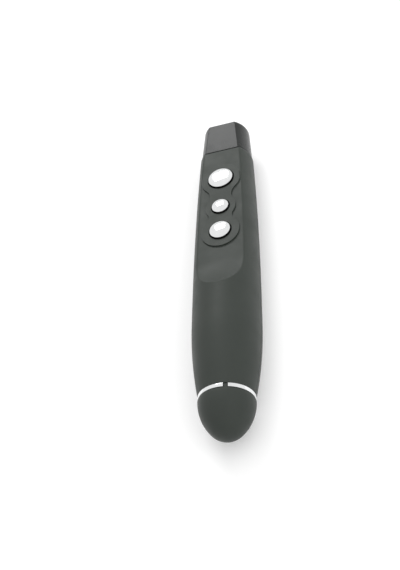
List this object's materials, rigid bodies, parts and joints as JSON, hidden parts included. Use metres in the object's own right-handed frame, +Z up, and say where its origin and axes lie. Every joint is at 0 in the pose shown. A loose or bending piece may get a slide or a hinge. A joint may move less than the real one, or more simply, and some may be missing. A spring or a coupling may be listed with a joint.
{
  "type": "wireless presentation clicker",
  "caption": "Pen-shaped presentation clicker: three domed buttons on a flat deck, glossy laser nose, hinged battery cover below and a tail cap that pulls off as the radio receiver.",
  "frame": {"origin": "on the resting plane, under the middle of the outside box", "axes": "+Y along the pen to the laser tip, +X to the right and +Z up out of the button deck"},
  "size_m": [0.0226, 0.1298, 0.0214],
  "materials": {
    "soft_black": "matt soft-touch coating on black plastic",
    "gloss_black": "glossy dark plastic",
    "chrome": "bright chrome",
    "clear_window": "clear",
    "brass": "turned brass",
    "bright_metal": "nickel-plated steel",
    "spring_steel": "plated spring wire",
    "plunger_plastic": "brown moulded plastic",
    "switch_plastic": "black moulded plastic",
    "board_green": "solder-masked laminate",
    "chip_black": "moulded chip package",
    "ceramic_tan": "ceramic chip parts",
    "gold_plate": "gold-plated metal",
    "cell_jacket": "plain printed jacket, unlabelled",
    "inner_plastic": "black moulded plastic",
    "white_plastic": "white moulded plastic"
  },
  "bodies": {
    "casing": {"upper_shell": "soft_black", "lower_shell": "soft_black", "trim_ring": "chrome", "nose_cap": "gloss_black", "laser_window": "clear_window", "laser_barrel": "brass", "lens_nut": "brass", "collimating_lens": "clear_window", "laser_diode": "bright_metal", "laser_switch": "switch_plastic", "forward_switch": "switch_plastic", "back_switch": "switch_plastic", "main_board": "board_green", "radio_chip": "chip_black", "control_chip": "chip_black", "board_crystal": "bright_metal", "board_parts": "ceramic_tan", "antenna": "gold_plate", "aaa_cell": "cell_jacket", "contact_spring": "spring_steel", "spring_contact": "bright_metal", "positive_contact": "bright_metal", "dock_block": "inner_plastic", "case_screws": "bright_metal"},
    "laser_key": {"laser_button": "chrome", "laser_plunger": "plunger_plastic"},
    "forward_key": {"forward_button": "chrome", "forward_plunger": "plunger_plastic"},
    "back_key": {"back_button": "chrome", "back_plunger": "plunger_plastic"},
    "receiver": {"receiver_dome": "soft_black", "receiver_base": "inner_plastic", "usb_shield": "bright_metal", "usb_tongue": "white_plastic", "usb_contacts": "gold_plate", "receiver_board": "board_green", "receiver_chip": "chip_black", "receiver_crystal": "bright_metal"},
    "battery_door": {"battery_cover": "soft_black"}
  },
  "joints": [
    {"name": "laser_press", "type": "slide", "parent": "casing", "child": "laser_key", "axis": [0, -0.0122, -0.9999], "range_m": [0, 0.0004], "stiffness_N_per_m": 3000},
    {"name": "forward_press", "type": "slide", "parent": "casing", "child": "forward_key", "axis": [0, -0.0122, -0.9999], "range_m": [0, 0.0004], "stiffness_N_per_m": 3000},
    {"name": "back_press", "type": "slide", "parent": "casing", "child": "back_key", "axis": [0, -0.0122, -0.9999], "range_m": [0, 0.0004], "stiffness_N_per_m": 3000},
    {"name": "receiver_pull", "type": "slide", "parent": "casing", "child": "receiver", "axis": [0, -1, 0], "range_m": [0, 0.02]},
    {"name": "cover_swing", "type": "hinge", "parent": "casing", "child": "battery_door", "pos_m": [0, -0.0358, 0], "axis": [-1, 0, 0], "range_deg": [0, 40]}
  ]
}
